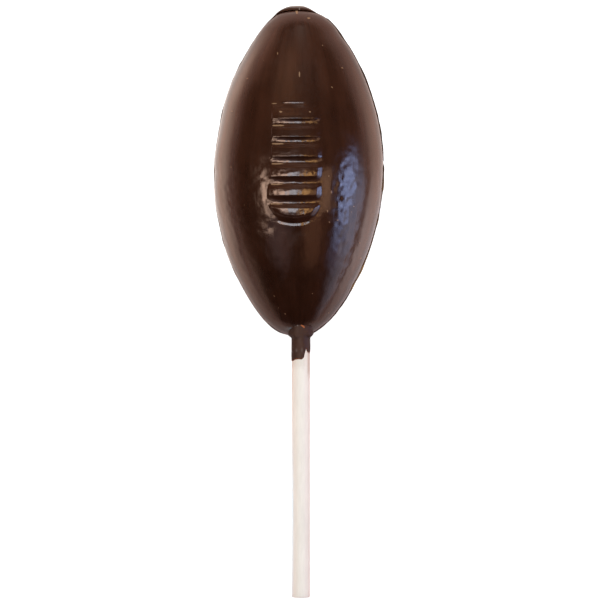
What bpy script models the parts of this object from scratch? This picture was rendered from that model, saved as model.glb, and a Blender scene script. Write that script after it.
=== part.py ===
"""Chocolate lollipop: half a laced ball of dark chocolate, moulded flat at the back, on a paper stick.

It lies on its flat back with the laces up (+Z). The stick points down the page (-Y). The origin is
the bottom centre of the whole lollipop. Sizes are in millimetres until they reach Blender.
"""

import math

import bmesh
import bpy
import numpy as np
from mathutils import Matrix

MM = 0.001

# The stick: a standard rolled paper lollipop stick, 11/64 in by 4 1/2 in
STICK_DIAMETER = 4.4
STICK_LENGTH = 114.3
STICK_SHOWN = 62.6
STICK_X = 0.46
STICK_HEIGHT = 3.1
STICK_EDGE = 0.15
STICK_SIDES = 48
STICK_CLEARANCE = 0.15

# The ball: two side arcs meet in rounded tips, and every section is half an ellipse
BALL_WIDTH = 40.7
BALL_DEPTH = 16.0
SIDE_RADIUS = 57.5
TOP_REACH = 38.7
BOTTOM_REACH = 39.5
LEAN = 0.265
LEAN_LENGTH = 9.0
LEAN_MIDDLE = -0.05

# The thin flash that the mould's edge leaves round the back
FLASH_WIDTH = 0.25
FLASH_THICKNESS = 0.35
TIP_FLASH_WIDTH = 1.1
TIP_FLASH_REACH = 3.4

# The laces: raised pads between cross grooves, on a low mound, measured from the ball's middle
LACE_X = -0.7
LACE_HALF_WIDTH = 6.9
LACE_GROOVES = (15.6, 10.83, 6.54, 1.91, -3.0, -7.69, -12.69)
GROOVE_SMILES = (0.0, 0.0, 0.0, 0.05, 0.1, 0.15, 0.75)
PAD_HEIGHT_TOP = 0.41
PAD_HEIGHT_BOTTOM = 0.66
PAD_ROUNDNESS = 3.0
PAD_END = 1.9
LAST_PAD_NARROWING = 1.4
MOUND_HEIGHT = 0.15
MOUND_HALF_WIDTH = 10.5
MOUND_FLANK = 4.0
MOUND_TOP = 8.0
MOUND_FULL = 0.0
MOUND_TURN = -8.5
MOUND_BOTTOM = -15.0

# The sleeve of chocolate that set round the stick, from inside the ball to below its lower tip
SLEEVE_ROOT = 9.0
COAT_RADIUS = 2.6
COAT_LENGTH = 5.8
COAT_EDGE = 0.15
COLLAR_RADIUS = 3.07
COLLAR_TOP = 2.9
COLLAR_SLOPE = 0.5

# The mesh: rings along the ball, and columns from edge to edge over its front
RINGS = 98
COLUMNS = 46
TIP_RING = 0.4
GROOVE_CROWDING = 2.4
GROOVE_SPREAD = 0.5
LACE_MARGIN = 1.5
PAD_END_CROWDING = 1.6
MOUND_CROWDING = 0.5
SMOOTH_ANGLE = 40.0

# Places along Y, from the lower end of the stick to the top of the flash
OVERALL = STICK_SHOWN + BOTTOM_REACH + TOP_REACH + TIP_FLASH_WIDTH
STICK_BOTTOM_Y = -OVERALL / 2
STICK_TOP_Y = STICK_BOTTOM_Y + STICK_LENGTH
BALL_BOTTOM_Y = STICK_BOTTOM_Y + STICK_SHOWN
BALL_Y = BALL_BOTTOM_Y + BOTTOM_REACH


def smooth_step(value):
    """0 below 0, 1 above 1, and a smooth rise between."""
    t = np.clip(value, 0.0, 1.0)
    return t * t * (3.0 - 2.0 * t)


def reach(y):
    """How far the ball runs from its middle towards the tip on the side of y."""
    return np.where(y > 0, TOP_REACH, BOTTOM_REACH)


def tip_radius(length):
    """Radius of the circle on the ball's axis that ends at length and touches both side arcs."""
    inset = SIDE_RADIUS - BALL_WIDTH / 2
    return (SIDE_RADIUS**2 - inset**2 - length**2) / (2 * (SIDE_RADIUS - length))


def outline(y):
    """Half width of the ball at y, and the outline's normal there on the +X side."""
    inset = SIDE_RADIUS - BALL_WIDTH / 2
    length = reach(y)
    radius = tip_radius(length)
    centre = length - radius
    join = centre * SIDE_RADIUS / (SIDE_RADIUS - radius)
    on_tip = np.abs(y) > join
    beyond = np.clip(np.abs(y) - centre, 0.0, radius)
    tip_half = np.sqrt(radius**2 - beyond**2)
    side_half = np.sqrt(np.maximum(SIDE_RADIUS**2 - y**2, 0.0)) - inset
    half = np.where(on_tip, tip_half, side_half)
    normal_x = np.where(on_tip, tip_half / radius, (side_half + inset) / SIDE_RADIUS)
    normal_y = np.sign(y) * np.where(on_tip, beyond / radius, np.abs(y) / SIDE_RADIUS)
    return half, normal_x, normal_y


def middle_line(y):
    """The ball's centre line wanders a little to the right at the top and to the left below."""
    return LEAN_MIDDLE + LEAN * np.tanh(y / LEAN_LENGTH)


def flash_width(half, y):
    """Width of the flash, which runs out into a small tab at the top tip."""
    tab = np.where(y > 0, np.exp(-((half / TIP_FLASH_REACH) ** 2)), 0.0)
    return FLASH_WIDTH + (TIP_FLASH_WIDTH - FLASH_WIDTH) * tab


def mound(x, y):
    """Height of the low mound that carries the lower laces, with a round end below them."""
    down = np.clip((MOUND_TURN - y) / (MOUND_TURN - MOUND_BOTTOM), 0.0, None)
    outward = MOUND_HALF_WIDTH * np.hypot(x / MOUND_HALF_WIDTH, down)
    rise = smooth_step((MOUND_TOP - y) / (MOUND_TOP - MOUND_FULL))
    return MOUND_HEIGHT * smooth_step((MOUND_HALF_WIDTH - outward) / MOUND_FLANK) * rise


def pads(x, y):
    """Height of the raised pads: an arch between each two grooves, sloped at both ends."""
    height = np.zeros_like(y)
    spread = (x / LACE_HALF_WIDTH) ** 2
    count = len(LACE_GROOVES) - 1
    for i in range(count):
        top = LACE_GROOVES[i] + GROOVE_SMILES[i] * spread
        bottom = LACE_GROOVES[i + 1] + GROOVE_SMILES[i + 1] * spread
        place = (2 * y - top - bottom) / (top - bottom)
        arch = np.clip(1.0 - np.abs(place) ** PAD_ROUNDNESS, 0.0, 1.0)
        half_width = LACE_HALF_WIDTH
        if i == count - 1:
            half_width = half_width - LAST_PAD_NARROWING * smooth_step((1.0 - place) / 2)
        across = smooth_step((half_width - np.abs(x)) / PAD_END)
        peak = PAD_HEIGHT_TOP + (PAD_HEIGHT_BOTTOM - PAD_HEIGHT_TOP) * i / (count - 1)
        height += peak * arch * across
    return height


def crowded(count, low, high, weight):
    """count positions from low to high, closer together where weight is larger."""
    fine = np.linspace(low, high, 2001)
    load = weight(fine)
    total = np.concatenate(([0.0], np.cumsum((load[1:] + load[:-1]) / 2)))
    return np.interp(np.linspace(0.0, total[-1], count), total, fine)


def ring_weight(angle):
    """Rings crowd over the laces, and most of all at their grooves."""
    y = np.sin(angle) * reach(angle)
    top = LACE_GROOVES[0] + LACE_MARGIN
    bottom = LACE_GROOVES[-1] - LACE_MARGIN
    load = 1.0 + smooth_step(y - bottom) * smooth_step(top - y)
    for groove in LACE_GROOVES:
        load = load + GROOVE_CROWDING * np.exp(-(((y - groove) / GROOVE_SPREAD) ** 2))
    return load


def column_weight(half):
    """Columns crowd where the pads end and where the mound's flanks slope."""

    def weight(angle):
        x = np.abs(half * np.cos(angle) - LACE_X)
        pad_end = np.exp(-(((x - LACE_HALF_WIDTH + PAD_END / 2) / PAD_END) ** 2))
        on_mound = smooth_step(MOUND_HALF_WIDTH + 1.0 - x)
        return 1.0 + PAD_END_CROWDING * pad_end + MOUND_CROWDING * on_mound

    return weight


def ring_places():
    """y of each ring. The rings beside a pole lie together: the flash's edge and the ball's foot."""
    low = TIP_RING**2 / (2 * tip_radius(BOTTOM_REACH)) - BOTTOM_REACH
    high = TOP_REACH - TIP_RING**2 / (2 * tip_radius(TOP_REACH))
    low_angle = math.asin(low / BOTTOM_REACH)
    high_angle = math.asin(high / TOP_REACH)
    angles = crowded(RINGS - 3, low_angle, high_angle, ring_weight)
    between = np.sin(angles) * reach(angles)
    return np.concatenate(([-BOTTOM_REACH, low], between, [high, TOP_REACH]))


def column_angles(half):
    """Angle of each column on a ring: two on the flash at either side, the others over the front."""
    crest = max(BALL_DEPTH * half / (BALL_WIDTH / 2), FLASH_THICKNESS)
    start = min(math.asin(FLASH_THICKNESS / crest), math.pi / 3)
    front = crowded(COLUMNS - 3, start, math.pi - start, column_weight(half))
    return np.concatenate(([0.0, 0.0], front, [math.pi, math.pi]))


def ball_grid():
    """Position of the ball's point on each ring and column, in metres."""
    y = ring_places()
    half, normal_x, normal_y = outline(y)
    flash = flash_width(half, y)
    turn = np.array([column_angles(width) for width in half])
    y, half, normal_x, normal_y, flash = (
        np.repeat(values[:, None], COLUMNS + 1, axis=1)
        for values in (y, half, normal_x, normal_y, flash)
    )
    across = half * np.cos(turn)
    front = np.maximum(BALL_DEPTH * half / (BALL_WIDTH / 2) * np.sin(turn), FLASH_THICKNESS)
    lace_x = across - LACE_X
    height = front + mound(lace_x, y) + pads(lace_x, y)
    height[:, [0, -1]] = 0.0
    height[[0, -1]] = 0.0

    on_flash = np.zeros(turn.shape)
    on_flash[:, [0, 1, -2, -1]] = 1.0
    on_flash[[0, 1, -2, -1]] = 1.0
    x = middle_line(y) + across + on_flash * flash * normal_x * np.sign(across)
    y = BALL_Y + y + on_flash * flash * normal_y
    return np.stack((x, y, height), axis=-1) * MM


def clear_scene():
    """Remove whatever objects the scene holds."""
    for obj in list(bpy.data.objects):
        bpy.data.objects.remove(obj, do_unlink=True)


def new_collection(name):
    """A collection of this name, linked to the scene."""
    collection = bpy.data.collections.new(name)
    bpy.context.scene.collection.children.link(collection)
    return collection


def new_object(name, bm, collection, material=None):
    """Turn a bmesh into a smooth shaded object in a collection."""
    mesh = bpy.data.meshes.new(name)
    bm.to_mesh(mesh)
    bm.free()
    if material:
        mesh.materials.append(material)
    obj = bpy.data.objects.new(name, mesh)
    collection.objects.link(obj)
    mesh.shade_smooth()
    mesh.set_sharp_from_angle(angle=math.radians(SMOOTH_ANGLE))
    return obj


def new_material(name, color, roughness):
    """A plain Principled material."""
    material = bpy.data.materials.new(name)
    material.use_nodes = True
    shader = material.node_tree.nodes["Principled BSDF"]
    shader.inputs["Base Color"].default_value = (*color, 1.0)
    shader.inputs["Roughness"].default_value = roughness
    shader.inputs["Metallic"].default_value = 0.0
    return material


def chocolate_ball(collection, material):
    """The front half of a sphere, its poles at the tips, moved point by point onto the ball's form."""
    bm = bmesh.new()
    bmesh.ops.create_uvsphere(bm, u_segments=2 * COLUMNS, v_segments=RINGS, radius=1.0)
    points = ball_grid()
    back = []
    for vert in bm.verts:
        ring = round((1.0 - math.acos(max(-1.0, min(1.0, vert.co.z))) / math.pi) * RINGS)
        column = round(math.atan2(vert.co.y, vert.co.x) / math.pi * COLUMNS)
        if ring in (0, RINGS):
            column = 0
        if column == -COLUMNS:
            column = COLUMNS
        if column < 0:
            back.append(vert)
            continue
        vert.co = points[ring, column]
    bmesh.ops.delete(bm, geom=back, context="VERTS")
    edges = [edge for edge in bm.edges if edge.is_boundary]
    bmesh.ops.holes_fill(bm, edges=edges, sides=0)
    bmesh.ops.recalc_face_normals(bm, faces=bm.faces)
    return new_object("chocolate_football", bm, collection, material)


def sleeve(collection):
    """The coat and the collar round the stick: one turned profile, its axis along the stick."""
    profile = (
        (0.0, SLEEVE_ROOT),
        (COAT_RADIUS, SLEEVE_ROOT),
        (COAT_RADIUS, COLLAR_TOP + COLLAR_SLOPE),
        (COLLAR_RADIUS, COLLAR_TOP),
        (COLLAR_RADIUS, COLLAR_SLOPE),
        (COAT_RADIUS, 0.0),
        (COAT_RADIUS, COAT_EDGE - COAT_LENGTH),
        (COAT_RADIUS - COAT_EDGE / 2, -COAT_LENGTH),
        (0.0, -COAT_LENGTH),
    )
    mesh = bpy.data.meshes.new("sleeve")
    edges = [(i, i + 1) for i in range(len(profile) - 1)]
    mesh.from_pydata([(r * MM, 0.0, h * MM) for r, h in profile], edges, [])
    obj = bpy.data.objects.new("sleeve", mesh)
    collection.objects.link(obj)
    turn = obj.modifiers.new("turn", "SCREW")
    turn.steps = turn.render_steps = STICK_SIDES
    turn.use_merge_vertices = True
    turn.merge_threshold = 0.00001
    obj.location = (STICK_X * MM, BALL_BOTTOM_Y * MM, STICK_HEIGHT * MM)
    obj.rotation_euler = (-math.pi / 2, 0.0, 0.0)
    return obj


def stick_bar(name, radius, low, high, collection, material=None):
    """A round bar along Y on the stick's axis, from y low to y high."""
    bm = bmesh.new()
    bmesh.ops.create_cone(
        bm,
        cap_ends=True,
        segments=STICK_SIDES,
        radius1=radius * MM,
        radius2=radius * MM,
        depth=(high - low) * MM,
        matrix=Matrix.Rotation(-math.pi / 2, 4, "X"),
    )
    obj = new_object(name, bm, collection, material)
    obj.location = (STICK_X * MM, (low + high) / 2 * MM, STICK_HEIGHT * MM)
    return obj


def hide_helper(obj):
    """Show a cutter as wire and keep it out of renders."""
    obj.hide_render = True
    obj.display_type = "WIRE"


def add_boolean(obj, name, operation, helper):
    """Join a helper to an object, or cut it out."""
    modifier = obj.modifiers.new(name, "BOOLEAN")
    modifier.operation = operation
    modifier.solver = "EXACT"
    modifier.object = helper


def main():
    clear_scene()
    parts = new_collection("chocolate_lollipop")
    helpers = new_collection("helpers")
    chocolate = new_material("dark_chocolate", (0.055, 0.022, 0.012), 0.28)
    paper = new_material("white_paper", (0.83, 0.79, 0.72), 0.65)

    ball = chocolate_ball(parts, chocolate)
    coat = sleeve(helpers)
    radius = STICK_DIAMETER / 2
    stick = stick_bar("paper_stick", radius, STICK_BOTTOM_Y, STICK_TOP_Y, parts, paper)
    edge = stick.modifiers.new("edge", "BEVEL")
    edge.width = STICK_EDGE * MM
    edge.segments = 2
    edge.limit_method = "ANGLE"
    bore_bottom = (STICK_BOTTOM_Y + BALL_BOTTOM_Y) / 2
    bore_top = STICK_TOP_Y + STICK_CLEARANCE
    bore = stick_bar("stick_bore", radius + STICK_CLEARANCE, bore_bottom, bore_top, helpers)
    for helper in (coat, bore):
        hide_helper(helper)
    add_boolean(ball, "join sleeve", "UNION", coat)
    add_boolean(ball, "cut bore", "DIFFERENCE", bore)


main()
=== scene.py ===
"""Chocolate lollipop: a laced half ball of dark chocolate on a rolled paper stick.

It lies on its flat back with the laces up. Shape functions work in millimetres, with y measured
from the ball's middle, and a mesh gets its metres and its place when it is made.
"""

import math
from types import SimpleNamespace

import bmesh
import bpy
import numpy as np
from bpy.props import FloatProperty, FloatVectorProperty, IntProperty, PointerProperty
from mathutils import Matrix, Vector


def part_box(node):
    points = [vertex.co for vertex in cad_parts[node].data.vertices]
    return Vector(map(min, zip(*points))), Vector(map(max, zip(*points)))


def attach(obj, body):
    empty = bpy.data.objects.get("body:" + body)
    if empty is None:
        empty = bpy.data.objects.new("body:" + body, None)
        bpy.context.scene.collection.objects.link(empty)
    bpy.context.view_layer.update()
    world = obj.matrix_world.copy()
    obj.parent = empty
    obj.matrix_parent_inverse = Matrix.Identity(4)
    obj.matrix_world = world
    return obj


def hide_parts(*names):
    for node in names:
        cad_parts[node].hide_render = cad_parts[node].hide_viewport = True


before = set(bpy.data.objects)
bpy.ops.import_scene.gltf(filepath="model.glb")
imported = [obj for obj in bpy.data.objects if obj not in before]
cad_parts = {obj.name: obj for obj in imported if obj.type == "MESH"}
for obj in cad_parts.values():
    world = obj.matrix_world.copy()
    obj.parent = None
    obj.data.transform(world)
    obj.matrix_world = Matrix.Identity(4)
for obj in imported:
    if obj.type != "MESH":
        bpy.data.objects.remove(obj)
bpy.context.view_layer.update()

bl_info = {
    "name": "Chocolate Lollipop",
    "version": (1, 0, 0),
    "blender": (4, 5, 0),
    "location": "3D View > Sidebar > Lollipop",
    "description": "Makes a moulded chocolate ball on a paper stick, with its table and lights",
    "category": "Add Mesh",
}

MM = 0.001

BALL_HIGH = Vector(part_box("chocolate_football")[1]) / MM
STICK_LOW, STICK_HIGH = (Vector(corner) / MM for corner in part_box("paper_stick"))
STICK_RADIUS = (STICK_HIGH.x - STICK_LOW.x) / 2
STICK_ACROSS = (STICK_LOW.x + STICK_HIGH.x) / 2
STICK_UP = (STICK_LOW.z + STICK_HIGH.z) / 2

# The laces, in millimetres: where the grooves cross the middle, how far their ends curve up,
# how far their right ends curl, and how much the pads between them are crowned
GROOVES = (15.65, 10.75, 6.4, 1.66, -3.2, -7.82, -12.69)
GROOVE_SMILES = (0.0, 0.0, 0.0, 0.05, 0.1, 0.15, 2.0)
GROOVE_CURLS = (0.0, 0.0, 0.0, 0.0, 0.25, 0.2, 0.0)
PAD_CROWNS = (0.1, 0.11, 0.14, 0.2, 0.25, 0.34)

# How far the last pad's right and left ends draw in, how far the upper pads' left ends do, and
# over what length the tops slope down to the left, in millimetres
LAST_PAD_IN = (1.5, 2.0)
UPPER_PADS_IN = 0.5
SHOULDER = 2.7

# Depth and half width of the shallow cuts along the first groove and the last, in millimetres
FIRST_CUT = (0.138, 0.36)
LAST_CUT = (0.13, 0.45)

# Crumbs, scars and pits on the ball: place across, place along, reach across, reach along and
# height, in millimetres. Not all are crumbs: the rows at -6.0, 15.75 and -4.45, 13.75 are painted
# gold glints on the first pad, the row at 1.7, -10.5 is a painted amber glint on the last pad, and
# the long rows at -5.2, 27.9 and 0.0, 22.7 are streaks that are partly wear and partly painted
# reflection.
CRUMBS_AND_GLINTS = (
    (10.2, 24.6, 0.42, 0.20, 0.06),
    (9.3, 26.8, 0.20, 0.30, -0.05),
    (7.8, 19.7, 0.20, 0.16, 0.05),
    (12.8, 11.6, 0.16, 0.14, 0.04),
    (13.3, -8.6, 0.20, 0.16, 0.05),
    (9.5, -11.9, 0.22, 0.20, 0.05),
    (12.8, -10.0, 0.16, 0.12, 0.04),
    (-16.2, 14.2, 0.17, 0.15, 0.04),
    (-16.2, 0.8, 0.18, 0.14, 0.04),
    (-12.8, -8.3, 0.15, 0.15, 0.03),
    (-8.6, 26.3, 0.18, 0.15, 0.04),
    (-5.9, 28.9, 0.30, 0.12, 0.04),
    (-5.2, 27.9, 0.12, 0.40, 0.04),
    (0.0, 22.7, 0.16, 0.80, 0.03),
    (2.2, 36.6, 0.40, 0.22, 0.06),
    (-5.1, 37.6, 0.25, 0.20, 0.10),
    (-0.6, 38.3, 0.28, 0.70, 0.22),
    (15.3, -20.8, 0.25, 0.20, 0.05),
    (-11.9, -19.5, 0.25, 0.20, 0.04),
    (3.6, -29.4, 0.20, 0.18, 0.04),
    (7.6, -34.0, 0.18, 0.15, 0.04),
    (-5.5, -29.9, 0.16, 0.16, 0.04),
    (-4.5, -32.8, 0.20, 0.18, 0.05),
    (-2.9, -34.2, 0.20, 0.18, 0.05),
    (-12.4, 22.0, 0.16, 0.14, 0.03),
    (5.5, 29.8, 0.15, 0.15, 0.03),
    (8.0, -5.3, 0.20, 0.45, 0.02),
    (7.1, -9.8, 0.20, 0.35, 0.02),
    (7.6, -12.4, 0.16, 0.30, 0.02),
    (7.3, -1.5, 0.16, 0.30, 0.02),
    (1.7, -10.5, 0.15, 0.35, 0.04),
    (15.0, -17.3, 0.14, 0.12, 0.03),
    (-6.0, 15.75, 0.7, 0.13, 0.02),
    (-4.45, 13.75, 0.45, 0.24, 0.02),
    (2.5, 13.7, 0.3, 0.2, 0.02),
)

# Where the ball's edge stands out from its even outline, or in where the last number is below
# zero: side, place along, length along and how far
EDGE_SWELLS = (
    (-1, 38.4, 1.3, 0.9),
    (-1, 31.0, 5.0, -0.12),
    (-1, 9.0, 5.5, -0.26),
    (-1, -4.0, 6.0, -0.22),
    (-1, -0.4, 1.6, -0.14),
    (-1, -14.0, 5.0, -0.2),
    (-1, -26.0, 4.0, -0.12),
    (-1, -37.2, 1.5, -0.25),
    (1, 37.8, 1.1, 0.35),
    (1, 32.8, 2.2, -0.25),
    (1, 28.0, 8.0, -0.08),
    (1, 16.0, 7.0, -0.2),
    (1, 6.0, 5.0, -0.15),
    (1, -18.0, 8.0, -0.1),
    (1, -27.0, 1.5, -0.2),
    (1, -34.5, 2.5, -0.15),
    (1, -37.4, 1.7, -0.55),
)

# The flash's section from the table up and inwards: how far out, as a share of its width, and how
# high, as a share of its thickness. At the upper tip it is a thick bead. Both have LIP points.
FLASH_SECTION = np.array(((0.7, 0.0), (1.0, 0.25), (1.0, 0.67), (0.8, 0.95), (0.35, 1.0)))
BEAD_SECTION = np.array(((0.9, 0.0), (1.0, 0.8), (0.82, 1.8), (0.48, 2.7), (0.15, 3.2)))
LIP = len(FLASH_SECTION)

# Where the flash's width changes near the upper tip: place across, reach and how much, in
# millimetres. The chip in its right side: place along, reach and depth.
TIP_CHANGES = ((4.3, 1.9, -0.38), (6.9, 0.5, 0.12), (0.0, 2.5, 0.1))
NEAR_UPPER_TIP = 30.0
CHIP = (2.1, 0.6, 0.2)

# How far the ball's middle line lies to the right of the frame's, in millimetres
BALL_ACROSS = -0.145

# Share of tan and of pale colour on the bead at the upper tip: a painted reflection on its rim
BEAD_PAINTED_RIM_TAN = 0.45
BEAD_PAINTED_RIM_PALE = 0.6

# The random ripples: how many waves, the shortest and the longest in millimetres, how far they
# are drawn out along y, and the seed
FLASH_WAVES = (24, 1.2, 7.0, 1.0, 11)
SKIN_WAVES = (60, 0.9, 2.6, 1.6, 5)
BODY_WAVES = (24, 6.0, 14.0, 1.0, 9)
PAD_WAVES = (40, 0.6, 1.4, 1.0, 7)
COAT_END_WAVES = (20, 0.8, 3.0, 1.0, 21)
COAT_LUMP_WAVES = (30, 1.4, 4.0, 1.0, 31)

# Past this angle between two faces, in degrees, the edge between them is sharp
SHARP_EDGE = 40.0


def number(name, text, value, **more):
    """A number setting."""
    return FloatProperty(name=name, description=text, default=value, **more)


def length(name, text, millimetres):
    """A length setting, given in millimetres and kept in metres."""
    return number(name, text, millimetres * MM, subtype="DISTANCE", unit="LENGTH", precision=5)


def colour(name, text, value):
    """A colour setting."""
    return FloatVectorProperty(
        name=name, description=text, default=value, subtype="COLOR", min=0.0, soft_max=1.0
    )


def share(name, text, value):
    """A setting between nothing and all."""
    return number(name, text, value, subtype="FACTOR", min=0.0, max=1.0)


def brightness(name, text, value):
    """How bright a light or a lit surface is, where 1 is white in the picture."""
    return number(name, text, value, min=0.0)


class LollipopBall(bpy.types.PropertyGroup):
    """Sizes of the chocolate ball."""

    width: length("Width", "Widest part of the ball, without its flash", 40.89)
    depth: length("Depth", "From the flat back to the top of the front", 16.0)
    side_radius: length("Side radius", "Radius of the outline's two side arcs", 57.5)
    top_reach: length("Top reach", "From the widest part to the upper tip", 38.7)
    bottom_reach: length("Bottom reach", "From the widest part to the lower tip", 39.5)
    lean: length("Lean", "How far the upper half sits to the right of the lower", 0.265)
    lean_length: length("Lean length", "Over what length the ball leans", 9.0)
    flash: length("Flash width", "Thin edge that the mould leaves at the right", 0.25)
    left_flash: length("Left flash", "Its width at the left", 0.06)
    flash_thickness: length("Flash thickness", "Thickness of that edge", 0.35)
    tab: length("Tab", "Width of the flash at the upper tip", 1.1)
    tab_reach: length("Tab reach", "How far right of the tip the flash widens", 3.0)
    left_tab_reach: length("Left tab reach", "How far left of the tip it widens", 4.4)
    ripple: length("Ripple", "Height of the ripples in the glossy skin", 0.011)
    hollow: length("Hollow", "How far the back draws in from its edge", 0.12)
    rings: IntProperty(name="Rings", description="Rings from tip to tip", default=400)
    columns: IntProperty(name="Columns", description="Columns over the front", default=190)
    back_columns: IntProperty(name="Back", description="Columns over the back", default=30)


class LollipopLaces(bpy.types.PropertyGroup):
    """Sizes of the raised laces."""

    place: length("Place", "Middle of the laces, across the ball", -0.7)
    half_width: length("Half width", "From the middle to the foot of a pad's end", 6.6)
    right_run: length("Right run", "Over what length a pad rises at its right end", 1.6)
    left_run: length("Left run", "Over what length it rises at its left end", 0.45)
    pad_edge: length("Pad edge", "Height of the pads at their long edges", 0.46)
    lower_side: length("Lower side", "Radius of a groove's floor on its lower side", 0.9)
    upper_side: length("Upper side", "Radius of a groove's floor on its upper side", 1.9)
    softness: length("Softness", "How soft the pads' edges are", 0.011)
    dimple: length("Dimple", "Height of the small dimples in the pads", 0.008)
    mound: length("Mound", "Height of the low swelling round the lower pads", 0.15)


class LollipopCoat(bpy.types.PropertyGroup):
    """Sizes of the chocolate that set round the stick."""

    radius: length("Radius", "Radius of the coat near the ball", 2.26)
    end_radius: length("End radius", "Radius of the coat near its ragged end", 2.28)
    length: length("Length", "From the ball's lower tip to the coat's end", 5.8)
    collar: length("Collar", "Radius of the collar at the ball's lower tip", 3.05)
    root: length("Root", "How far the coat reaches into the ball", 7.0)


class LollipopStick(bpy.types.PropertyGroup):
    """Details of the rolled paper stick. Its place and size are the frame's."""

    seam_step: length("Seam step", "Thickness of the paper's outer edge", 0.05)
    seam_turn: number(
        "Seam turn",
        "Where the paper's outer edge lies, from the top towards the right",
        math.radians(26.5),
        subtype="ANGLE",
        unit="ROTATION",
    )
    edge: length("Edge", "Rounding of the cut ends", 0.15)


class LollipopFinish(bpy.types.PropertyGroup):
    """Colours and gloss."""

    chocolate: colour("Chocolate", "Colour of the dark chocolate", (0.0305, 0.0106, 0.0056))
    # Also paints glints and gold reflection lines on the laces and a reflection on the bead at the
    # upper tip, besides crumbs
    crumb: colour("Crumb", "Colour of crumbs and scars", (0.19, 0.105, 0.052))
    # Also paints an orange glow at the collar's top, besides the thin chocolate at the coat's lip
    thin: colour("Thin chocolate", "Colour where the coat runs thin", (0.42, 0.12, 0.04))
    # Also paints highlights on two collar lumps and a reflection on the bead at the upper tip,
    # besides pale smudges
    bloom: colour("Bloom", "Colour of pale lumps and smudges", (0.24, 0.2, 0.19))
    paper: colour("Paper", "Colour of the paper", (0.885, 0.84, 0.78))
    # The stain colour also paints a faint shade along the stick's whole right edge
    stain: colour("Stain", "Colour that the chocolate leaves in the paper", (0.42, 0.27, 0.17))
    gloss: share("Roughness", "Roughness of the moulded chocolate", 0.14)
    dull: share("Dull roughness", "What is added where the chocolate has lost its gloss", 0.08)
    satin: share("Satin roughness", "Roughness of the chocolate round the stick", 0.6)


class LollipopStage(bpy.types.PropertyGroup):
    """Table, lights and camera."""

    glow: brightness("Table glow", "Light that comes from the table itself", 0.6)
    glow_colour: colour("Glow colour", "Colour of the table's light", (1.0, 0.3, 0.15))
    contact_colour: colour("Contact", "What is left of it beside the ball", (0.58, 0.75, 0.88))
    key: brightness("Key light", "Brightness of the soft light behind the upper tip", 5.3)
    window: brightness("Window", "Brightness of the window at the right", 3.7)
    window_colour: colour("Window colour", "Colour of the window", (0.78, 1.0, 1.78))
    lamp: brightness("Lamp", "Brightness of the lamp overhead", 11.2)
    lamp_colour: colour("Lamp colour", "Colour of the lamp", (0.97, 1.0, 1.1))
    left: brightness("Left panel", "Brightness of the panel at the left", 9.6)
    left_colour: colour("Left colour", "Colour of that panel", (1.5, 1.0, 0.75))
    right: brightness("Right panel", "Brightness of the panel at the right", 4.8)
    right_colour: colour("Right colour", "Colour of that panel", (1.9, 1.0, 0.35))
    dim: brightness("Dim panel", "Brightness of the panel further right", 1.6)
    dim_colour: colour("Dim colour", "Colour of that panel", (1.8, 1.0, 0.6))
    room: brightness("Room", "Brightness of the room near the table's edge", 1.0)
    room_colour: colour("Room colour", "Colour of that part of the room", (1.0, 0.6, 0.5))
    lens: number("Lens", "Focal length", 250.0, unit="CAMERA", min=1.0)


def in_millimetres(group):
    """The lengths of a settings group in millimetres; its other settings as they are."""
    values = {}
    for key in group.__annotations__:
        value = getattr(group, key)
        if group.bl_rna.properties[key].unit == "LENGTH":
            value /= MM
        values[key] = value
    return SimpleNamespace(**values)


def smooth(value):
    """0 below 0, 1 above 1, and a smooth rise between: 3t squared less 2t cubed."""
    t = np.clip(value, 0.0, 1.0)
    return t * t * (3.0 - 2.0 * t)


def bell(value):
    """1 at 0 and falling off as a bell curve: e to the minus value squared."""
    return np.exp(-(value**2))


def crowded(count, low, high, weight):
    """count places from low to high, closer where weight is larger: its running sum, inverted."""
    fine = np.linspace(low, high, 4001)
    load = weight(fine)
    total = np.concatenate(([0.0], np.cumsum((load[1:] + load[:-1]) / 2)))
    return np.interp(np.linspace(0.0, total[-1], count), total, fine)


def waves(points, count, shortest, longest, stretch, seed):
    """An even random ripple, about 1 high: a sum of plane waves with random turns and phases.

    Each wave is the sine of its wave vector dotted with the point, and longer waves are higher.
    stretch draws the ripples out along y.
    """
    rng = np.random.default_rng(seed)
    size = rng.uniform(shortest, longest, count)
    turn = rng.normal(size=(count, 3)) / (1.0, stretch, 1.0)
    turn /= np.linalg.norm(turn, axis=1, keepdims=True)
    vector = 2 * math.pi * turn / size[:, None]
    phase = rng.uniform(0.0, 2 * math.pi, count)
    height = size / math.sqrt((size**2).sum() / 2)
    total = np.zeros(points.shape[:-1])
    for i in range(count):
        total += height[i] * np.sin(points @ vector[i] + phase[i])
    return total


def tip_radius(ball, reach):
    """Radius of the circle on the ball's axis that ends at reach and touches both side arcs."""
    inset = ball.side_radius - ball.width / 2
    return (ball.side_radius**2 - inset**2 - reach**2) / (2 * (ball.side_radius - reach))


def outline(ball, y):
    """Half width at y and the outline's normal there: two side arcs that run into tip circles."""
    inset = ball.side_radius - ball.width / 2
    reach = np.where(y > 0, ball.top_reach, ball.bottom_reach)
    radius = tip_radius(ball, reach)
    centre = reach - radius
    join = centre * ball.side_radius / (ball.side_radius - radius)
    on_tip = np.abs(y) > join
    beyond = np.clip(np.abs(y) - centre, 0.0, radius)
    tip_half = np.sqrt(radius**2 - beyond**2)
    side_half = np.sqrt(np.maximum(ball.side_radius**2 - y**2, 0.0)) - inset
    half = np.where(on_tip, tip_half, side_half)
    normal_x = np.where(on_tip, tip_half / radius, (side_half + inset) / ball.side_radius)
    normal_y = np.where(on_tip, beyond / radius, np.abs(y) / ball.side_radius)
    return half, normal_x, np.sign(y) * normal_y


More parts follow.
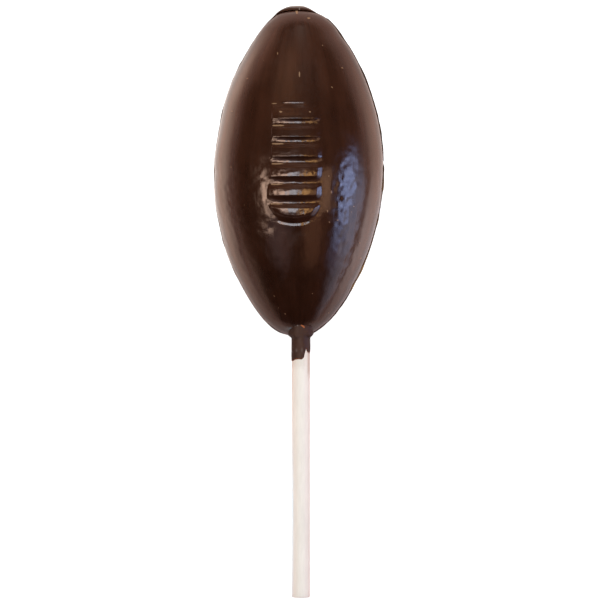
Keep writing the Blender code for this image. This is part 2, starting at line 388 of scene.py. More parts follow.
def flash_width(ball, x, y):
    """Width of the flash: even, wider at the upper tip, a little ragged, and chipped at places."""
    reach = np.where(x > 0, ball.tab_reach, ball.left_tab_reach)
    tab = np.where(y > 0, bell(x / reach), 0.0)
    side = np.where(x > 0, ball.flash, ball.left_flash)
    width = side + (ball.tab - side) * tab
    edge = np.stack((x, y, np.zeros_like(x)), axis=-1)
    width += 0.05 * waves(edge, *FLASH_WAVES)
    for place, spread, more in TIP_CHANGES:
        width += more * bell((x - place) / spread) * (y > NEAR_UPPER_TIP)
    place, spread, depth = CHIP
    width -= depth * bell((y - place) / spread) * (x > 0)
    return np.maximum(width, 0.05)


def edge_swell(across, half, y):
    """How far a point moves sideways where the ball's edge isn't even: bell curves along the edge.

    The move fades towards the ball's middle as the square of the share of its half width.
    """
    out = np.zeros_like(across)
    for side, place, spread, far in EDGE_SWELLS:
        out += far * bell((y - place) / spread) * (across * side > 0)
    return out * np.sign(across) * (across / np.maximum(half, 0.3)) ** 2


def pads(laces, x, y):
    """Height of the laces: crowned tops that slope at their ends, and grooves with round floors.

    The least of the tops and the floors' parabolas is taken softly, as minus the logarithm of the
    summed exponentials of minus each. The ends rise by a smooth step, and the left ends go on
    rising over the shoulder's length. The first pad falls off towards its upper edge, and along
    the outer grooves a shallow bell curve is cut as well.
    """
    soft = laces.softness
    spread = np.minimum((x / laces.half_width) ** 2, 1.2)
    curl = smooth((x - 4.6) / 1.6)
    lines = [
        middle + smile * spread + lift * curl
        for middle, smile, lift in zip(GROOVES, GROOVE_SMILES, GROOVE_CURLS)
    ]
    total = np.zeros_like(y)
    for line in lines:
        radius = np.where(y > line, laces.upper_side, laces.lower_side)
        total += np.exp(-((y - line) ** 2) / (2 * radius) / soft)
    for crown, above, below in zip(PAD_CROWNS, lines[:-1], lines[1:]):
        place = (2 * y - above - below) / (above - below)
        top = laces.pad_edge + crown * (1.0 - np.minimum(place**2, 1.0))
        total += np.exp(-top / soft) * (np.abs(place) <= 1.0)
    below = smooth((lines[-2] - y) / (lines[-2] - lines[-1]))
    narrower = np.where(x > 0, *LAST_PAD_IN) * below
    narrower += np.where(x > 0, 0.0, UPPER_PADS_IN) * smooth((y + 4.0) / 4.0)
    to_end = laces.half_width - narrower - np.abs(x)
    right_run = laces.right_run * (1.0 + 0.6 * smooth((y - 4.0) / 3.0))
    run = np.where(x > 0, right_run, laces.left_run)
    inside = (y < lines[0]) & (y > lines[-1])
    total = -soft * np.log(np.maximum(total, 1e-30))
    height = np.where(inside, np.maximum(total, 0.0), 0.0) * smooth(to_end / run)
    height *= (1.0 - 0.35 * spread) * (1.0 - 0.75 * smooth((y - 12.6) / 2.6))
    shoulder = 0.28 + 0.32 * smooth((-2.4 - y) / 1.6)
    height *= 1.0 - shoulder * (x < 0) * (1.0 - smooth(to_end / SHOULDER))
    short = smooth((3.2 - np.abs(x + 0.65)) / 1.2)
    depth, reach = FIRST_CUT
    height -= depth * bell((y - lines[0]) / reach) * short
    long = smooth(to_end / 1.3) * smooth((4.2 - x) / 1.5)
    depth, reach = LAST_CUT
    return height - depth * bell((y - lines[-1]) / reach) * long


def painted_gold_lines(x, y):
    """How much a point belongs to a painted gold reflection line, just below the left part of each
    inner groove.
    """
    gold_line = np.zeros_like(y)
    for groove in GROOVES[1:-1]:
        gold_line = np.maximum(gold_line, bell((groove - 0.25 - y) / 0.2))
    reach = smooth((-1.6 - x) / 2.4) * smooth((6.0 + x) / 0.5)
    return 0.9 * gold_line * reach


def on_laces(laces, x, y):
    """How much a point belongs to the laces: 1 on the pads, fading out round them."""
    across = smooth((laces.half_width + 0.3 - np.abs(x)) / 1.2)
    return across * smooth((GROOVES[0] - y) / 0.8) * smooth((y - GROOVES[-1]) / 0.8)


def mound(laces, x, y):
    """Height of the low swelling round the lower pads, with a round end below them."""
    down = np.clip((-8.5 - y) / 6.5, 0.0, None)
    outward = 10.5 * np.hypot(x / 10.5, down)
    return laces.mound * smooth((10.5 - outward) / 4.0) * smooth((8.0 - y) / 8.0)


def crumb_and_glint_bumps(x, y):
    """Height of the crumbs and of the painted glints, and how much of one each point is: small
    bell curves.
    """
    height = np.zeros_like(y)
    cover = np.zeros_like(y)
    for across, along, wide, long, tall in CRUMBS_AND_GLINTS:
        hill = bell(np.hypot((x - across) / wide, (y - along) / long))
        height += tall * hill
        cover = np.maximum(cover, hill * (tall > 0))
    return height, cover


def ball_rings(ball):
    """y of each ring: even round the tips and crowded over the laces and their grooves.

    The ring beside a pole is the flash's edge, halfway to the next ring, where the outline's half
    width is tip.
    """

    def weight(angle):
        y = np.sin(angle) * np.where(angle > 0, ball.top_reach, ball.bottom_reach)
        load = 0.8 + 0.7 * smooth(y + 15.0) * smooth(18.5 - y)
        for groove in GROOVES:
            load += 1.3 * bell((y - groove - 0.3) / 0.9)
            load += 1.6 * bell((y - groove - 1.3) / 0.35)
        return load

    tip = 0.08
    low = tip**2 / (2 * tip_radius(ball, ball.bottom_reach)) - ball.bottom_reach
    high = ball.top_reach - tip**2 / (2 * tip_radius(ball, ball.top_reach))
    angles = crowded(
        ball.rings - 3,
        math.asin(low / ball.bottom_reach),
        math.asin(high / ball.top_reach),
        weight,
    )
    between = np.sin(angles) * np.where(angles > 0, ball.top_reach, ball.bottom_reach)
    ends = (-ball.bottom_reach, (low - ball.bottom_reach) / 2)
    return np.concatenate((ends, between, ((high + ball.top_reach) / 2, ball.top_reach)))


def skin_ripples(ball, laces, place, half, laced):
    """Height of the skin's ripples: fine, most at the lower right, long, and dimples on the pads.

    Each is a sum of waves times a share that rises and falls by smooth steps.
    """
    x, y = place[..., 0], place[..., 1]
    lower = smooth((9.0 - y) / 14.0)
    right = smooth((x - 8.0) / 3.0) * smooth((16.0 - x) / 4.0)
    left = smooth((-4.0 - x) / 5.0)
    calm = 0.35 + 0.65 * smooth((y + 25.0) / 8.0)
    rough = 0.15 + 0.4 * lower + (1.7 * right * calm + 0.3 * left) * lower
    fade = smooth(half / 6.0)
    ripple = ball.ripple * rough * waves(place, *SKIN_WAVES) * fade
    ripple += 0.03 * waves(place, *BODY_WAVES) * fade
    return ripple + laces.dimple * waves(place, *PAD_WAVES) * laced


def ball_surface(ball, laces):
    """The ball as a grid of closed rings, with its crumbs, its painted glints and painted
    reflections, its turn and dullness.

    A ring goes over the flash's edge, over the front as half an ellipse whose height and half
    width come from the outline, over the other edge and back across the back.
    """
    y = ball_rings(ball)[:, None]
    half, normal_x, normal_y = outline(ball, y)
    crest = np.maximum(ball.depth * half / (ball.width / 2), 1e-9)
    start = np.arcsin(np.minimum(ball.flash_thickness / crest, 0.85))

    def weight(angle):
        return 1.0 + 1.2 * smooth(4.0 - 8.0 * np.abs(angle - math.pi / 2))

    even = crowded(ball.columns, 0.0, math.pi, weight) / math.pi
    turn = start + (math.pi - 2 * start) * even
    front_x = half * np.cos(turn)
    front_z = np.sqrt((crest * np.sin(turn)) ** 2 + 0.02)

    bead = np.where(y > 0, bell(half / (ball.tab_reach + 1.0)), 0.0)
    section = FLASH_SECTION + (BEAD_SECTION - FLASH_SECTION) * bead[..., None]
    lip_out = section[..., 0]
    lip_z = section[..., 1] * ball.flash_thickness
    back = np.linspace(-1.0, 1.0, ball.back_columns + 2)[1:-1]
    hollow = ball.hollow * smooth(1.6 * (1.0 - np.abs(back))) * smooth(half / 8.0)
    hollow[[1, -2]] = 0.0
    rim = np.repeat(half, LIP, axis=1)
    across = np.concatenate((rim, front_x, -rim, half * back), axis=1)
    height = np.concatenate((lip_z, front_z, lip_z[:, ::-1], hollow), axis=1)
    under_out = 0.7 * back**8 + 0.0 * half
    out = np.concatenate((lip_out, 0.0 * front_x, lip_out[:, ::-1], under_out), axis=1)
    front = slice(LIP, LIP + ball.columns)
    under = slice(front.stop + LIP, None)
    out[[0, -1]] = 1.0
    out[1] = np.maximum(out[1], 1.0)
    out[-2, under] = 1.0
    out[-2, front] = BEAD_SECTION[-1, 0]
    y = np.repeat(y, across.shape[1], axis=1)

    fx = across[:, front]
    fy = y[:, front]
    lace_x = fx - laces.place
    crumbs, cover = crumb_and_glint_bumps(fx, fy)
    cover = np.maximum(cover, painted_gold_lines(lace_x, fy))
    slope = np.stack((fx / half.clip(0.01) ** 2, 0 * fx, front_z / crest**2), -1)
    slope /= np.linalg.norm(slope, axis=-1, keepdims=True)
    skin = np.stack((fx, fy, front_z), axis=-1)
    laced = on_laces(laces, lace_x, fy)
    ripple = skin_ripples(ball, laces, skin, half, laced)
    moved = slope * (ripple + crumbs)[..., None]
    height[:, front] += mound(laces, lace_x, fy) + pads(laces, lace_x, fy) + moved[..., 2]
    height[-2, front] = BEAD_SECTION[-1, 1] * ball.flash_thickness
    height[-1] = BEAD_SECTION[1, 1] * ball.flash_thickness

    out *= flash_width(ball, across, y)
    lean = ball.lean * np.tanh(y / ball.lean_length) + BALL_ACROSS
    x = lean + across + edge_swell(across, half, y) + out * normal_x * np.sign(across)
    x[:, front] += moved[..., 0]
    grid = np.stack((x, y + out * normal_y, height), axis=-1)
    on_bead = np.zeros_like(across)
    on_bead[:, :3] = bead
    on_bead[:, front.stop + 2 : under.start] = bead
    on_bead[-2:] = 1.0
    # On the bead at the upper tip the tan and pale colours are a painted reflection on its rim; on
    # the front the tan colour marks crumbs, painted glints and painted gold lines
    crumb = BEAD_PAINTED_RIM_TAN * on_bead
    crumb[:-2, front] = cover[:-2]
    around = np.pad(turn, ((0, 0), (LIP, LIP)), "edge")
    around = np.concatenate((around, 0.0 * half * back), axis=1)
    dull = smooth((y - 12.0) / 14.0)
    dull[:, front] = np.maximum(dull[:, front], 0.3 * laced)
    return grid, {"crumb": crumb, "bloom": BEAD_PAINTED_RIM_PALE * on_bead, "around": around, "dull": dull}


def closed_rings(grid):
    """Points and faces of a grid of closed rings whose first and last rings are single points."""
    rings, columns = grid.shape[:2]
    points = np.concatenate((grid[:1, 0], grid[1:-1].reshape(-1, 3), grid[-1:, 0]))
    first = np.arange(columns)
    after = np.roll(first, -1)
    ring = 1 + columns * np.arange(rings - 3)[:, None]
    corners = (ring + first, ring + after, ring + columns + after, ring + columns + first)
    quads = np.stack(corners, -1)
    end = len(points) - 1
    base = end - columns
    low = np.stack((0 * first, 1 + after, 1 + first), -1)
    high = np.stack((end + 0 * first, base + first, base + after), -1)
    return points, low.tolist() + quads.reshape(-1, 4).tolist() + high.tolist()


def new_object(name, data):
    """A new object in the scene."""
    obj = bpy.data.objects.new(name, data)
    bpy.context.scene.collection.objects.link(obj)
    return obj


def add_piece(name, grid, material, middle, attributes=None):
    """Make a mesh piece of closed rings at its middle, smooth shaded, with faces outwards."""
    points, faces = closed_rings(grid)
    mesh = bpy.data.meshes.new(name)
    mesh.from_pydata((points + np.array(middle)) * MM, [], faces)
    solid = bmesh.new()
    solid.from_mesh(mesh)
    if solid.calc_volume(signed=True) < 0:
        mesh.flip_normals()
    solid.free()
    for key, values in (attributes or {}).items():
        flat = np.concatenate((values[:1, 0], values[1:-1].ravel(), values[-1:, 0]))
        layer = mesh.attributes.new(key, "FLOAT", "POINT")
        layer.data.foreach_set("value", flat.astype(np.float32))
    mesh.materials.append(material)
    mesh.shade_smooth()
    mesh.set_sharp_from_angle(angle=math.radians(SHARP_EDGE))
    if mesh.validate():
        raise RuntimeError(f"{name} has faces that can't stand")
    obj = new_object(name, mesh)
    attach(obj, "root")
    return obj


class Nodes:
    """Adds nodes to a node tree and links them."""

    def __init__(self, tree):
        self.tree = tree

    def add(self, kind, inputs=(), **settings):
        """A new shader node with its inputs, in order or by name, and its settings."""
        node = self.tree.nodes.new("ShaderNode" + kind)
        for key, value in settings.items():
            setattr(node, key, value)
        self.feed(node, inputs if isinstance(inputs, dict) else dict(enumerate(inputs)))
        return node

    def feed(self, node, inputs):
        """Set a node's inputs to values, or link them to outputs of other nodes."""
        for key, value in inputs.items():
            if isinstance(value, bpy.types.NodeSocket):
                self.tree.links.new(value, node.inputs[key])
            else:
                node.inputs[key].default_value = value

    def place(self):
        """The place in the object's own space."""
        return self.add("TexCoord").outputs["Object"]

    def attribute(self, name):
        """One of the piece's own numbers."""
        return self.add("Attribute", attribute_name=name).outputs["Fac"]

    def math(self, operation, *values):
        """The outcome of one sum on numbers."""
        return self.add("Math", values, operation=operation).outputs[0]

    def seen(self):
        """1 where the camera sees the surface itself, and 0 for its light and its reflection."""
        return self.add("LightPath").outputs["Is Camera Ray"]

    def vectors(self, operation, *values):
        """The outputs of one sum on vectors: the vector and the number."""
        return self.add("VectorMath", values, operation=operation).outputs

    def ramp(self, value, low, high, start=0.0, end=1.0):
        """A smooth rise from start to end while value goes from low to high."""
        inputs = (value, low, high, start, end)
        return self.add("MapRange", inputs, interpolation_type="SMOOTHSTEP").outputs[0]

    def mix(self, factor, first, second):
        """One colour over another."""
        inputs = {0: factor, 6: first, 7: second}
        return self.add("Mix", inputs, data_type="RGBA").outputs[2]

    def stretched(self, vector, scale):
        """The place, stretched by a scale along each axis."""
        return self.add("Mapping", {"Vector": vector, "Scale": scale}).outputs[0]

    def spot(self, vector, x, y, wide, long):
        """The place seen from x, y in millimetres, in reaches across and along."""
        scale = (1 / wide / MM, 1 / long / MM, 0.0)
        inputs = {"Vector": vector, "Location": (-x / wide, -y / long, 0.0), "Scale": scale}
        return self.add("Mapping", inputs).outputs[0]

    def noise(self, vector, scale, detail=2.0, roughness=0.5):
        """Soft random clouds at a place."""
        inputs = {"Vector": vector, "Scale": scale, "Detail": detail, "Roughness": roughness}
        return self.add("TexNoise", inputs).outputs["Fac"]


def new_material(name):
    """A material with a Principled shader, and a maker of nodes for it."""
    material = bpy.data.materials.new(name)
    material.use_nodes = True
    return material, Nodes(material.node_tree), material.node_tree.nodes["Principled BSDF"]


def plain(value, times=1.0):
    """A colour setting, made brighter or darker, as a colour with full cover."""
    return (*[times * part for part in value], 1.0)


WHITE = plain((1.0, 1.0, 1.0))
BLACK = plain((0.0, 0.0, 0.0))


def chocolate_material(finish, attribute, roughness, moulded=False):
    """Dark chocolate with faint clouds, streaks and pits.

    attribute names another colour's setting and the piece's own share of it. A moulded piece also
    knows its turn, which the streaks keep to, and where it is dull.
    """
    material, nodes, shader = new_material("dark_chocolate_" + attribute)
    place = nodes.place()
    cloud = nodes.noise(place, 110.0, 3.0)
    grain = nodes.noise(place, 2600.0, 2.0)
    # The piece's share of its attribute's colour: on the ball crumbs, painted glints and gold
    # lines and a painted reflection on the bead; on the coat thin chocolate and a painted orange
    # glow
    there = nodes.attribute(attribute)
    spotted = nodes.ramp(nodes.math("MULTIPLY_ADD", grain, 0.5, there), 0.55, 0.95)
    mottle = nodes.noise(place, 420.0, 3.0, 0.6)
    rough = nodes.ramp(mottle, 0.3, 0.7, roughness - 0.03, roughness + 0.05)
    if moulded:
        rough = nodes.math("MULTIPLY_ADD", nodes.attribute("dull"), finish.dull, rough)
        along = nodes.add("SeparateXYZ", [place]).outputs[1]
        turn = nodes.attribute("around")
        vector = nodes.add("CombineXYZ", (turn, along)).outputs[0]
        streaks = nodes.noise(nodes.stretched(vector, (55.0, 130.0, 1.0)), 1.0, 3.0, 0.65)
        run = nodes.noise(nodes.stretched(vector, (7.0, 60.0, 1.0)), 1.0, 4.0, 0.6)
        cloud = nodes.math("MULTIPLY_ADD", run, 0.6, nodes.math("MULTIPLY", cloud, 0.4))
    else:
        streaks = nodes.noise(nodes.stretched(place, (1.0, 0.09, 1.0)), 1900.0, 2.0)
    tone = finish.chocolate
    body = nodes.mix(nodes.ramp(cloud, 0.3, 0.7), plain(tone, 0.75), plain(tone, 1.27))
    # Pale colour: smudges, painted highlights on lumps and a painted reflection on the bead
    body = nodes.mix(nodes.attribute("bloom"), body, plain(finish.bloom))
    peel = nodes.noise(place, 1000.0, 1.5)
    pits = nodes.add("TexVoronoi", {"Vector": place, "Scale": 520.0})
    pit = nodes.ramp(pits.outputs["Distance"], 0.03, 0.09, -1.0, 0.0)
    height = nodes.math("MULTIPLY_ADD", streaks, 2.5, nodes.math("MULTIPLY", peel, 0.7))
    height = nodes.math("MULTIPLY_ADD", pit, 0.5, height)
    bump = nodes.add("Bump", {"Height": height, "Strength": 0.5, "Distance": 0.01 * MM})
    look = {
        "Base Color": nodes.mix(spotted, body, plain(getattr(finish, attribute))),
        "Roughness": nodes.math("MULTIPLY_ADD", spotted, 0.25, rough),
        "IOR": 1.46 if moulded else 1.36,
        "Normal": bump.outputs[0],
    }
    nodes.feed(shader, look)
    return material


def lower_tip(ball):
    """y of the ball's lower tip in the frame."""
    return BALL_HIGH.y - ball.tab - ball.top_reach - ball.bottom_reach


class LOLLIPOP_OT_ball(bpy.types.Operator):
    """Make the laced chocolate ball"""

    bl_idname = "lollipop.ball"
    bl_label = "Chocolate Ball"

    def execute(self, context):
        settings = context.scene.lollipop
        sizes = in_millimetres(settings.ball)
        grid, layers = ball_surface(sizes, in_millimetres(settings.laces))
        finish = settings.finish
        material = chocolate_material(finish, "crumb", finish.gloss, True)
        middle = (0.0, lower_tip(sizes) + sizes.bottom_reach, 0.0)
        ball = add_piece("laced_ball", grid, material, middle, layers)
        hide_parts("chocolate_football")
        return {"FINISHED"}


# The coat's ragged lower end: the turn from the left side over the top, in sixteenths, and how far
# below the ball's tip it lies there, in millimetres
COAT_END_TURNS = (0.0, 1.0, 2.0, 3.0, 4.3, 4.85, 5.0, 5.45, 6.0, 7.0, 8.0, 10.0, 12.0, 14.0, 16.0)
COAT_END_LENGTHS = (6.1, 5.95, 5.8, 5.45, 5.5, 5.1, 4.5, 3.0, 3.9, 4.1, 3.8, 3.6, 5.0, 5.3, 6.1)

# Pale lumps and smudges on the coat: turn, distance below the ball's tip, reach in radians and in
# millimetres, how pale and how high. The two high lumps at the collar's top are real bumps with
# painted highlights; the two flat rows below are pale smudges.
COAT_PALE_MARKS_AND_HIGHLIGHTS = (
    (0.94, -2.6, 0.08, 0.22, 0.8, 0.12),
    (1.21, -2.65, 0.08, 0.2, 0.8, 0.12),
    (1.07, 3.4, 0.12, 0.4, 0.25, 0.0),
    (1.68, 3.3, 0.1, 0.5, 0.2, 0.0),
)

# Points round the coat, along its outside and along its inside
COAT_COLUMNS = 144
COAT_RINGS = 110
COAT_INNER_RINGS = 24


def coat_surface(coat, stick_radius):
    """The coat and collar as closed rings round the stick, and their shares of thin and pale
    colour: the thin colour at the ragged lip and as a painted orange glow at the collar's top, the
    pale colour as smudges and as painted highlights on two lumps.

    A profile of radius against length goes down the outside, round the ragged lip and back up the
    inside, and the lip's place changes with the turn round the stick.
    """
    turn = np.linspace(0.0, 2 * math.pi, COAT_COLUMNS, endpoint=False)[None, :]
    sixteenths = 16 * turn / (2 * math.pi)
    ends = np.interp(sixteenths, COAT_END_TURNS, COAT_END_LENGTHS)
    across, up = 3 * np.cos(turn), 3 * np.sin(turn)
    ends += 0.08 * waves(np.stack((across, up, 0 * turn), axis=-1), *COAT_END_WAVES)
    steps = np.linspace(0.0, 1.0, COAT_RINGS)[:, None]
    top = -coat.root
    along = top + (ends - top) * steps
    circle = np.stack((across + 0 * along, along, up + 0 * along), axis=-1)
    lumps = waves(circle, *COAT_LUMP_WAVES)
    swell = smooth((along - 1.6) / 1.4)
    radius = coat.radius + (coat.end_radius - coat.radius) * swell + 0.02 * lumps
    on_collar = smooth((along + 3.1) / 0.9) * smooth((0.45 + 0.15 * lumps - along) / 1.0)
    bulge = 0.05 + 0.95 * np.cos(turn) ** 2
    radius += (coat.collar + 0.1 * lumps - coat.radius) * on_collar * bulge
    bloom = np.zeros_like(lumps)
    for at, below, wide, long, share_pale, tall in COAT_PALE_MARKS_AND_HIGHLIGHTS:
        hill = bell(np.hypot((turn - at) / wide, (along - below) / long))
        bloom = np.maximum(bloom, share_pale * hill)
        radius += tall * hill
    to_end = ends - along
    lip = np.sqrt(np.clip(to_end / 0.35, 0.0, 1.0))
    inner = stick_radius + 0.015
    radius = inner + 0.01 + (np.maximum(radius, inner + 0.04) - inner - 0.01) * lip
    root = np.sqrt(np.clip((along - top) / 0.6, 0.0, 1.0))
    radius *= np.where(along < top + 0.6, root, 1.0)
    inside_steps = np.linspace(1.0, 0.0, COAT_INNER_RINGS)[:, None]
    inside_top = top + 0.4
    inside = inside_top + (ends - 0.02 - inside_top) * inside_steps
    inside_radius = inner * np.ones_like(inside)
    inside_radius[-1] = 0.0
    along = np.concatenate((along, inside))
    radius = np.concatenate((radius, inside_radius))
    along[-1] = inside_top
    grid = np.stack((-radius * np.cos(turn), -along, radius * np.sin(turn)), axis=-1)
    # Painted orange glow: a slanted patch at the collar's top takes the thin chocolate's colour in
    # full
    slant = along[:COAT_RINGS] + 2.38 - 1.5 * (turn - 1.76)
    spot = bell(np.hypot((turn - 1.76) / 0.25, slant / 0.28))
    thin = np.maximum(0.45 * smooth(1.0 - np.abs(to_end) / 0.9), spot)
    thin = np.concatenate((thin, np.ones_like(inside)))
    bloom = np.concatenate((bloom, np.zeros_like(inside)))
    return grid, {"thin": thin, "bloom": bloom}


class LOLLIPOP_OT_coat(bpy.types.Operator):
    """Make the collar and the thin coat of chocolate round the stick"""

    bl_idname = "lollipop.coat"
    bl_label = "Coat and Collar"

    def execute(self, context):
        settings = context.scene.lollipop
        grid, layers = coat_surface(in_millimetres(settings.coat), STICK_RADIUS)
        finish = settings.finish
        material = chocolate_material(finish, "thin", finish.satin)
        middle = (STICK_ACROSS, lower_tip(in_millimetres(settings.ball)), STICK_UP)
        coat = add_piece("coat_and_collar", grid, material, middle, layers)
        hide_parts("chocolate_football")
        return {"FINISHED"}


# Points round the stick and rings from end to end
STICK_COLUMNS = 160
STICK_RINGS = 260


def stick_surface(stick, radius, low, high):
    """The rolled stick as closed rings: a circle whose radius grows a seam step in one turn.

    The profile runs from the middle of one cut end, round its edge, along the stick and over the
    other end.
    """
    turn = np.linspace(0.0, 2 * math.pi, STICK_COLUMNS, endpoint=False)[None, :]
    grown = stick.seam_step * (turn / (2 * math.pi) - 1.0)
    wall = radius + grown * smooth(turn / 0.12)
    edge = stick.edge
    cuts = np.array([0.0, 0.3, 0.6, 0.85])
    corner = np.linspace(0.0, math.pi / 2, 7)
    share_out = np.concatenate((cuts * 0.9, 1 - edge / radius * (1 - np.sin(corner))))
    depth = np.concatenate((0 * cuts, edge * (1 - np.cos(corner))))
    side = np.linspace(low, high, STICK_RINGS)[4:-4]
    along = np.concatenate((low + depth, side, (high - depth)[::-1]))[:, None]
    share_out = np.concatenate((share_out, np.ones_like(side), share_out[::-1]))
    radii = wall * share_out[:, None]
    place = math.pi / 2 - stick.seam_turn - turn
    return np.stack((radii * np.cos(place), along + 0 * place, radii * np.sin(place)), axis=-1)


def paper_material(finish, middle):
    """Matt rolled paper: fibres along the stick, faint clouds, stains by the coat and a painted
    shade along its right edge.
    """
    material, nodes, shader = new_material("rolled_paper")
    place = nodes.place()
    shift = {"Vector": place, "Location": [-part * MM for part in middle]}
    from_coat = nodes.add("Mapping", shift).outputs[0]
    fibres = nodes.noise(nodes.stretched(place, (1.0, 0.12, 1.0)), 2600.0, 3.0, 0.6)
    cloud = nodes.noise(nodes.stretched(place, (1.0, 0.3, 1.0)), 260.0, 2.0)
    shade = nodes.math("MULTIPLY_ADD", fibres, 0.5, nodes.math("MULTIPLY", cloud, 0.5))
    tone = finish.paper
    body = nodes.mix(nodes.ramp(shade, 0.3, 0.7), plain(tone, 0.94), plain(tone, 1.04))
    across, along, _ = nodes.add("SeparateXYZ", [from_coat]).outputs
    wander = nodes.math("MULTIPLY_ADD", nodes.noise(place, 1500.0, 2.0), 0.002, along)
    near = nodes.ramp(wander, -0.0014, 0.0, 0.0, 0.12)
    # Painted shade: the stain's share never falls below 0.07 on the right edge, so that edge is
    # darkened a little all along the stick; towards the coat it rises to a real stain
    right_edge = nodes.ramp(across, 0.0012, 0.0019)
    stain_and_shade = nodes.ramp(wander, -0.0042, -0.0012, 0.07, 0.55)
    stained_and_shaded = nodes.math("MAXIMUM", near, nodes.math("MULTIPLY", stain_and_shade, right_edge))
    bump = nodes.add("Bump", {"Height": fibres, "Strength": 0.35, "Distance": 0.02 * MM})
    colour_out = nodes.mix(stained_and_shaded, body, plain(finish.stain))
    look = {"Base Color": colour_out, "Roughness": 0.62, "IOR": 1.4, "Normal": bump.outputs[0]}
    nodes.feed(shader, look)
    return material


class LOLLIPOP_OT_stick(bpy.types.Operator):
    """Make the rolled paper stick"""

    bl_idname = "lollipop.stick"
    bl_label = "Paper Stick"

    def execute(self, context):
        settings = context.scene.lollipop
        sizes = in_millimetres(settings.stick)
        grid = stick_surface(sizes, STICK_RADIUS, STICK_LOW.y, STICK_HIGH.y)
        coat_end = lower_tip(in_millimetres(settings.ball)) - settings.coat.length / MM
        material = paper_material(settings.finish, (STICK_ACROSS, coat_end, STICK_UP))
        stick = add_piece("rolled_stick", grid, material, (STICK_ACROSS, 0.0, STICK_UP))
        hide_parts("paper_stick")
        return {"FINISHED"}


# What the lights aim at, how high the overhead panels hang and how far off the window and the key
# light stand, in millimetres
AIM = (0.0, 31.2, 14.0)
PANEL_HEIGHT = 800.0
WINDOW_DISTANCE = 900.0
KEY_DISTANCE = 3000.0


def add_light(name, wide, tall, strength, tint):
    """A flat light that faces down. Its power is its brightness times pi times its area."""
    light = bpy.data.lights.new(name, "AREA")
    light.shape = "RECTANGLE"
    light.size = wide * MM
    light.size_y = tall * MM
    light.color = tint
    light.energy = strength * math.pi * light.size * light.size_y
    obj = new_object(name, light)
    obj.visible_camera = False
    return obj


def overhead(name, edges, strength, tint):
    """A flat light overhead, for reflections only. Its edges are angles from straight up."""
    west, east, south, north = (PANEL_HEIGHT * math.tan(math.radians(edge)) for edge in edges)
    light = add_light(name, east - west, north - south, strength, tint)
    x, y, _ = AIM
    middle = Vector((x + (west + east) / 2, y + (south + north) / 2, PANEL_HEIGHT))
    light.location = middle * MM
    light.visible_diffuse = False


def direction(azimuth, zenith):
    """The direction at an angle round from the right and an angle down from straight up."""
    a, z = math.radians(azimuth), math.radians(zenith)
    return Vector((math.sin(z) * math.cos(a), math.sin(z) * math.sin(a), math.cos(z)))


def standing(name, azimuth, zenith, wide, tall, strength, tint, distance):
    """A flat light at a distance, turned to the aim. Its place and size are in degrees."""
    sizes = [2 * distance * math.tan(math.radians(angle / 2)) for angle in (wide, tall)]
    light = add_light(name, *sizes, strength, tint)
    out = direction(azimuth, zenith)
    light.location = (Vector(AIM) + out * distance) * MM
    light.rotation_euler = out.to_track_quat("Z", "Y").to_euler()
    return light


# Where the table glows more: place across and along, how far it spreads each way, in
# millimetres, and the colour that it adds
TABLE_GLOWS = (
    (-34.0, 28.0, 28.0, 34.0, (2.0, 1.5, 1.2)),
    (36.0, 34.0, 24.0, 36.0, (0.95, 0.65, 0.5)),
    (44.0, 4.0, 24.0, 22.0, (1.8, 1.6, 1.65)),
    (-52.0, 76.0, 28.0, 26.0, (1.0, 0.6, 0.4)),
    (-24.0, 60.0, 12.0, 14.0, (1.4, 1.1, 0.9)),
    (-6.0, -26.0, 5.0, 8.0, (0.8, 0.75, 0.65)),
    (-5.0, -52.0, 3.5, 20.0, (1.2, 3.2, 4.6)),
    (4.0, -45.0, 14.0, 34.0, (0.0, 0.3, 0.4)),
)

# The ball's outline on the table: middle across and along, and reach across and along
BALL_SHADE = (0.0, 31.2, 20.6, 39.5)

# Half the table's width in metres, and its colour
TABLE_REACH = 3.0
TABLE_GREY = (0.42, 0.42, 0.42)


def add_table(stage):
    """A wide pale table top that glows, most beside the ball, and shows white from above."""
    mesh = bpy.data.meshes.new("table")
    turns = ((-1, -1), (1, -1), (1, 1), (-1, 1))
    corners = [(x * TABLE_REACH, y * TABLE_REACH, 0.0) for x, y in turns]
    mesh.from_pydata(corners, [], [(0, 1, 2, 3)])
    material, nodes, shader = new_material("pale_table")
    place = nodes.place()
    total = [stage.glow * part for part in stage.glow_colour]
    for x, y, wide, long, more in TABLE_GLOWS:
        off = nodes.spot(place, x, y, wide, long)
        square = nodes.vectors("DOT_PRODUCT", off, off)[1]
        fall = nodes.math("EXPONENT", nodes.math("MULTIPLY", square, -1.0))
        total = nodes.vectors("MULTIPLY_ADD", fall, more, total)[0]
    beside = nodes.vectors("LENGTH", nodes.spot(place, *BALL_SHADE))[1]
    shade = nodes.mix(nodes.ramp(beside, 1.0, 1.3), plain(stage.contact_colour), WHITE)
    shaded = nodes.vectors("MULTIPLY", total, shade)[0]
    look = {
        "Emission Color": nodes.mix(nodes.seen(), shaded, WHITE),
        "Emission Strength": 1.0,
        "Base Color": plain(TABLE_GREY),
        "Roughness": 0.9,
        "Specular IOR Level": 0.0,
    }
    nodes.feed(shader, look)
    material.cycles.emission_sampling = "NONE"
    mesh.materials.append(material)
    table = new_object("table", mesh)


# The room's colour against the height of a direction's end: the share of the room's colour
ROOM_RISE = ((0.0, 0.9), (0.07, 0.5), (0.15, 0.18), (0.26, 0.05), (0.5, 0.01), (1.0, 0.01))

